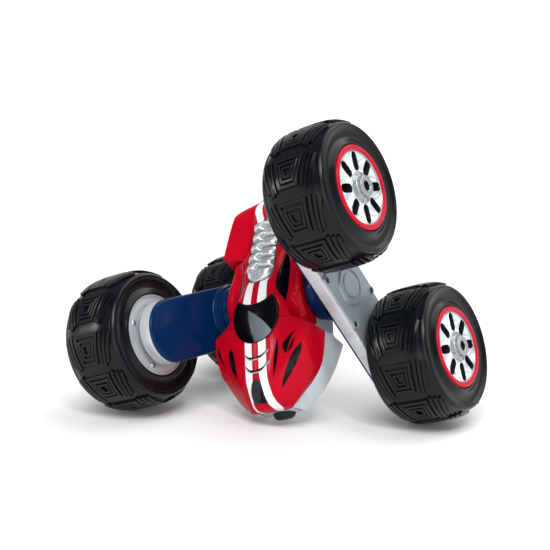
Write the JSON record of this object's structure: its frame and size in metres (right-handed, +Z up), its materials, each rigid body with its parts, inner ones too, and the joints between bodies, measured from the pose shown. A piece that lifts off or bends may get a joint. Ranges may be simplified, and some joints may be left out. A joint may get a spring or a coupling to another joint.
{
  "type": "rc stunt car",
  "caption": "Radio-controlled stunt car: slim body slung between two full-turn swing arms, each with a chunky wheel at both ends, in a three-wheel stance.",
  "frame": {"origin": "centre of the footprint's bounding box, on the ground", "axes": "+X forward along the flat right arm, +Y towards the car's left, +Z up; the car leans 19.36 degrees to its right"},
  "size_m": [0.268, 0.2858, 0.2407],
  "materials": {
    "red_plastic": "gloss painted",
    "grey_plastic": "silver grey, satin",
    "black_plastic": "gloss",
    "black_trim": "fine grain",
    "chromed": "vacuum plated",
    "blue_plastic": "gloss",
    "silver_plastic": "metallic silver, satin",
    "rubber": "matt",
    "bumper_rubber": "matt",
    "rim_silver": "plated",
    "ring_red": "gloss",
    "steel": "bright",
    "gear_nylon": "natural",
    "board": "solder mask",
    "battery_wrap": "shrink film",
    "chassis_plastic": "moulded"
  },
  "bodies": {
    "body": {"chassis": "chassis_plastic", "upper_shell": "red_plastic", "lower_shell": "grey_plastic", "canopy": "black_plastic", "engine_block": "chromed", "side_panels": "black_plastic", "nose_insert": "black_trim", "front_bumper": "bumper_rubber", "battery": "battery_wrap", "battery_door": "black_trim", "circuit_board": "board", "shell_screws": "steel"},
    "switch": {"power_switch": "black_trim"},
    "left_arm": {"left_arm_inner_cover": "blue_plastic", "left_arm_outer_cover": "silver_plastic", "left_cover_screws": "steel", "left_motor": "steel"},
    "left_front_wheel": {"left_front_tyre": "rubber", "left_front_rim": "rim_silver", "left_front_rim_ring": "ring_red", "left_front_back_plate": "silver_plastic", "left_front_plate_screws": "steel", "left_front_axle": "steel", "left_front_wheel_gear": "gear_nylon"},
    "left_front_idler_gear": {"left_front_idler": "gear_nylon"},
    "left_rear_wheel": {"left_rear_tyre": "rubber", "left_rear_rim": "rim_silver", "left_rear_rim_ring": "ring_red", "left_rear_back_plate": "silver_plastic", "left_rear_plate_screws": "steel", "left_rear_axle": "steel", "left_rear_wheel_gear": "gear_nylon"},
    "left_rear_idler_gear": {"left_rear_idler": "gear_nylon"},
    "left_centre": {"left_centre_gear": "gear_nylon"},
    "left_reduction": {"left_reduction_gear": "gear_nylon"},
    "left_pinion": {"left_motor_pinion": "gear_nylon"},
    "right_arm": {"right_arm_inner_cover": "blue_plastic", "right_arm_outer_cover": "silver_plastic", "right_cover_screws": "steel", "right_motor": "steel"},
    "right_front_wheel": {"right_front_tyre": "rubber", "right_front_rim": "rim_silver", "right_front_rim_ring": "ring_red", "right_front_back_plate": "silver_plastic", "right_front_plate_screws": "steel", "right_front_axle": "steel", "right_front_wheel_gear": "gear_nylon"},
    "right_front_idler_gear": {"right_front_idler": "gear_nylon"},
    "right_rear_wheel": {"right_rear_tyre": "rubber", "right_rear_rim": "rim_silver", "right_rear_rim_ring": "ring_red", "right_rear_back_plate": "silver_plastic", "right_rear_plate_screws": "steel", "right_rear_axle": "steel", "right_rear_wheel_gear": "gear_nylon"},
    "right_rear_idler_gear": {"right_rear_idler": "gear_nylon"},
    "right_centre": {"right_centre_gear": "gear_nylon"},
    "right_reduction": {"right_reduction_gear": "gear_nylon"},
    "right_pinion": {"right_motor_pinion": "gear_nylon"}
  },
  "joints": [
    {"name": "left_arm_pivot", "type": "hinge", "parent": "body", "child": "left_arm", "pos_m": [0, -0.01111, 0.08872], "axis": [0, 0.9435, 0.3315], "continuous": true},
    {"name": "left_front_wheel_spin", "type": "hinge", "parent": "left_arm", "child": "left_front_wheel", "pos_m": [0.04178, 0.05685, 0.18367], "axis": [0, 0.9435, 0.3315], "continuous": true},
    {"name": "left_front_idler_spin", "type": "hinge", "parent": "left_arm", "child": "left_front_idler_gear", "pos_m": [0.01878, 0.03607, 0.13724], "axis": [0, 0.9435, 0.3315], "continuous": true},
    {"name": "left_rear_wheel_spin", "type": "hinge", "parent": "left_arm", "child": "left_rear_wheel", "pos_m": [-0.04178, 0.10131, 0.05716], "axis": [0, 0.9435, 0.3315], "continuous": true},
    {"name": "left_rear_idler_spin", "type": "hinge", "parent": "left_arm", "child": "left_rear_idler_gear", "pos_m": [-0.01878, 0.05605, 0.08039], "axis": [0, 0.9435, 0.3315], "continuous": true},
    {"name": "left_centre_spin", "type": "hinge", "parent": "left_arm", "child": "left_centre", "pos_m": [0, 0.04606, 0.10881], "axis": [0, 0.9435, 0.3315], "continuous": true},
    {"name": "left_reduction_spin", "type": "hinge", "parent": "left_arm", "child": "left_reduction", "pos_m": [0.00952, 0.03854, 0.12236], "axis": [0, 0.9435, 0.3315], "continuous": true},
    {"name": "left_pinion_spin", "type": "hinge", "parent": "left_arm", "child": "left_pinion", "pos_m": [0, 0.04078, 0.10696], "axis": [0, 0.9435, 0.3315], "continuous": true},
    {"name": "right_arm_pivot", "type": "hinge", "parent": "body", "child": "right_arm", "pos_m": [0, -0.01111, 0.08872], "axis": [0, 0.9435, 0.3315], "continuous": true},
    {"name": "right_front_wheel_spin", "type": "hinge", "parent": "right_arm", "child": "right_front_wheel", "pos_m": [0.079, -0.10131, 0.05703], "axis": [0, 0.9435, 0.3315], "continuous": true},
    {"name": "right_front_idler_spin", "type": "hinge", "parent": "right_arm", "child": "right_front_idler_gear", "pos_m": [0.0355, -0.06829, 0.06864], "axis": [0, 0.9435, 0.3315], "continuous": true},
    {"name": "right_rear_wheel_spin", "type": "hinge", "parent": "right_arm", "child": "right_rear_wheel", "pos_m": [-0.079, -0.10131, 0.05703], "axis": [0, 0.9435, 0.3315], "continuous": true},
    {"name": "right_rear_idler_spin", "type": "hinge", "parent": "right_arm", "child": "right_rear_idler_gear", "pos_m": [-0.0355, -0.06829, 0.06864], "axis": [0, 0.9435, 0.3315], "continuous": true},
    {"name": "right_centre_spin", "type": "hinge", "parent": "right_arm", "child": "right_centre", "pos_m": [0, -0.06829, 0.06864], "axis": [0, 0.9435, 0.3315], "continuous": true},
    {"name": "right_reduction_spin", "type": "hinge", "parent": "right_arm", "child": "right_reduction", "pos_m": [0.018, -0.06583, 0.0695], "axis": [0, 0.9435, 0.3315], "continuous": true},
    {"name": "right_pinion_spin", "type": "hinge", "parent": "right_arm", "child": "right_pinion", "pos_m": [0, -0.063, 0.07049], "axis": [0, 0.9435, 0.3315], "continuous": true},
    {"name": "power_switch_slide", "type": "slide", "parent": "body", "child": "switch", "axis": [0.3665, 0.3084, -0.8778], "range_m": [0, 0.004]}
  ],
  "couplings": [
    {"joint": "left_front_idler_spin", "follows": "left_front_wheel_spin", "ratio": -1.0233},
    {"joint": "left_rear_wheel_spin", "follows": "left_front_wheel_spin", "ratio": 1},
    {"joint": "left_rear_idler_spin", "follows": "left_front_wheel_spin", "ratio": -1.0233},
    {"joint": "left_centre_spin", "follows": "left_front_wheel_spin", "ratio": 1.5714},
    {"joint": "left_reduction_spin", "follows": "left_front_wheel_spin", "ratio": -5.5},
    {"joint": "left_pinion_spin", "follows": "left_front_wheel_spin", "ratio": 22},
    {"joint": "right_front_idler_spin", "follows": "right_front_wheel_spin", "ratio": -1.0233},
    {"joint": "right_rear_wheel_spin", "follows": "right_front_wheel_spin", "ratio": 1},
    {"joint": "right_rear_idler_spin", "follows": "right_front_wheel_spin", "ratio": -1.0233},
    {"joint": "right_centre_spin", "follows": "right_front_wheel_spin", "ratio": 1.5714},
    {"joint": "right_reduction_spin", "follows": "right_front_wheel_spin", "ratio": -5.5},
    {"joint": "right_pinion_spin", "follows": "right_front_wheel_spin", "ratio": 22}
  ]
}
